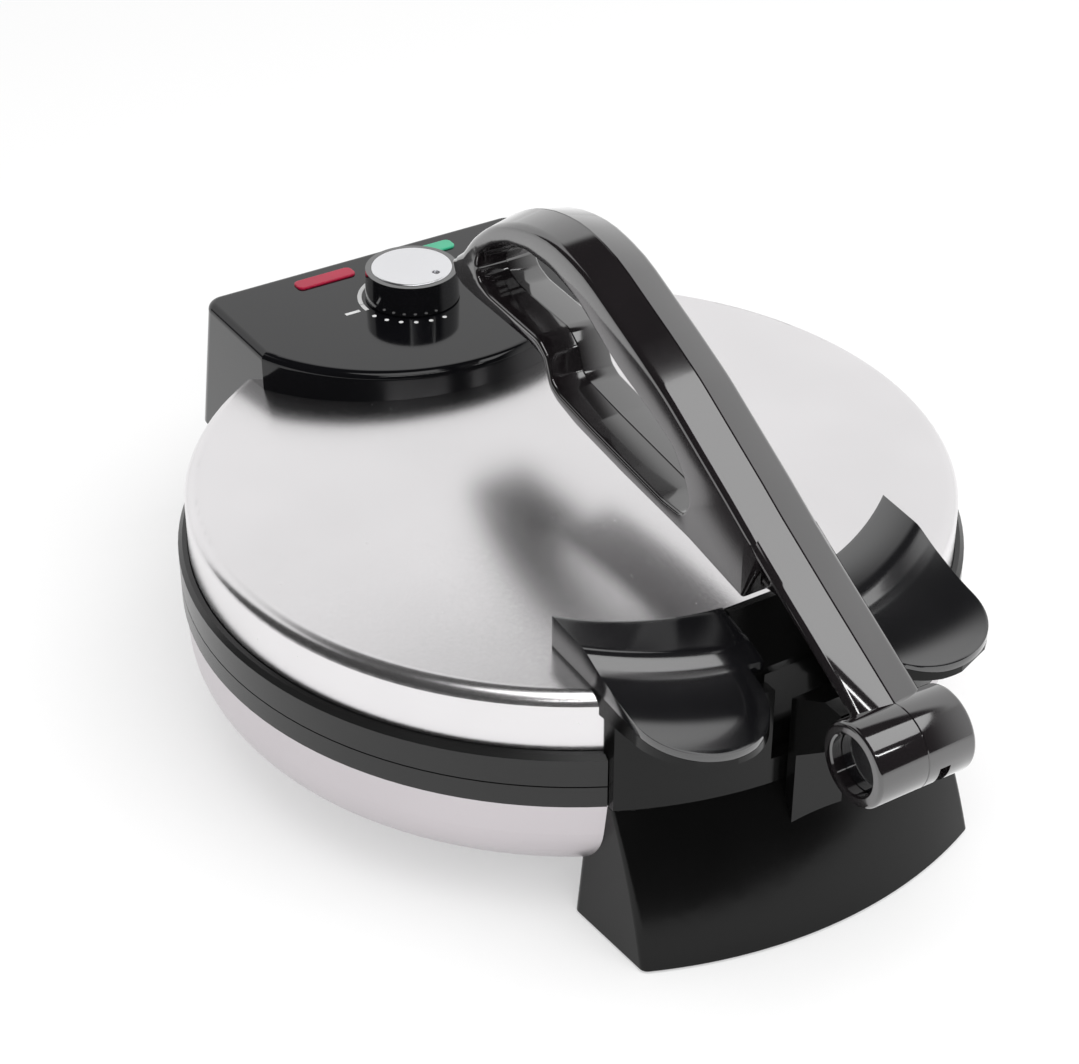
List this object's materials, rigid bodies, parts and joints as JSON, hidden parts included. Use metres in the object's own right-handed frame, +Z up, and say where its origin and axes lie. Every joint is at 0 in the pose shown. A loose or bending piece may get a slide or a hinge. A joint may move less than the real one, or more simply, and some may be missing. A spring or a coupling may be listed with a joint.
{
  "type": "electric roti maker",
  "caption": "Countertop two-plate flatbread press: round steel drum with a hinged lid, a heat control at the rear and a long press lever pivoted on the front foot.",
  "frame": {"origin": "centre of the overall box on the table plane", "axes": "+Z up, -Y towards the front where the lever pivots, +X to the right seen from the front"},
  "size_m": [0.276, 0.3594, 0.1856],
  "materials": {
    "gloss_black": "polished",
    "black_plastic": "satin",
    "satin_steel": "brushed",
    "dark_steel": "satin",
    "zinc_steel": "satin",
    "element_steel": "satin",
    "coated_plate": "satin",
    "rubber_black": "matte",
    "cream_plastic": "satin",
    "red_lens": "polished",
    "green_lens": "polished",
    "lamp_glass": "clear",
    "knob_silver": "brushed",
    "brass_bush": "satin"
  },
  "bodies": {
    "base": {"lower_shell": "satin_steel", "bottom_cover": "dark_steel", "lower_ring": "black_plastic", "lower_plate": "coated_plate", "lower_heater": "element_steel", "lower_heat_shield": "dark_steel", "lower_plate_screws": "zinc_steel", "front_foot": "gloss_black", "rear_foot": "gloss_black", "cord_gland": "rubber_black", "rubber_feet": "rubber_black", "base_screws": "zinc_steel", "hinge_pin": "zinc_steel", "lever_pin": "zinc_steel", "terminal_block": "cream_plastic"},
    "lid": {"upper_shell": "satin_steel", "upper_ring": "black_plastic", "upper_plate": "coated_plate", "upper_heater": "element_steel", "upper_heat_shield": "dark_steel", "upper_plate_screws": "zinc_steel", "control_housing": "gloss_black", "red_lens": "red_lens", "green_lens": "green_lens", "indicator_lamps": "lamp_glass", "thermostat": "cream_plastic", "thermal_fuse": "cream_plastic", "right_grip_cover": "gloss_black", "left_grip_cover": "gloss_black", "grip_body": "gloss_black"},
    "knob": {"knob_body": "gloss_black", "knob_cap": "knob_silver", "knob_shaft": "zinc_steel"},
    "lever": {"lever_right_shell": "gloss_black", "lever_left_shell": "gloss_black", "lever_screws": "zinc_steel", "lever_bushes": "brass_bush", "lever_end_caps": "gloss_black"}
  },
  "joints": [
    {"name": "lid_hinge", "type": "hinge", "parent": "base", "child": "lid", "pos_m": [0, 0.16625, 0.057], "axis": [-1, 0, 0], "range_deg": [0, 75]},
    {"name": "lever_swing", "type": "hinge", "parent": "base", "child": "lever", "pos_m": [0, -0.16585, 0.08795], "axis": [1, 0, 0], "range_deg": [0, 168.75]},
    {"name": "knob_turn", "type": "hinge", "parent": "lid", "child": "knob", "pos_m": [0, 0.12725, 0.106], "axis": [0, 0, 1], "range_deg": [-120, 150]}
  ],
  "couplings": [
    {"joint": "lever_swing", "follows": "lid_hinge", "ratio": 2.25}
  ]
}
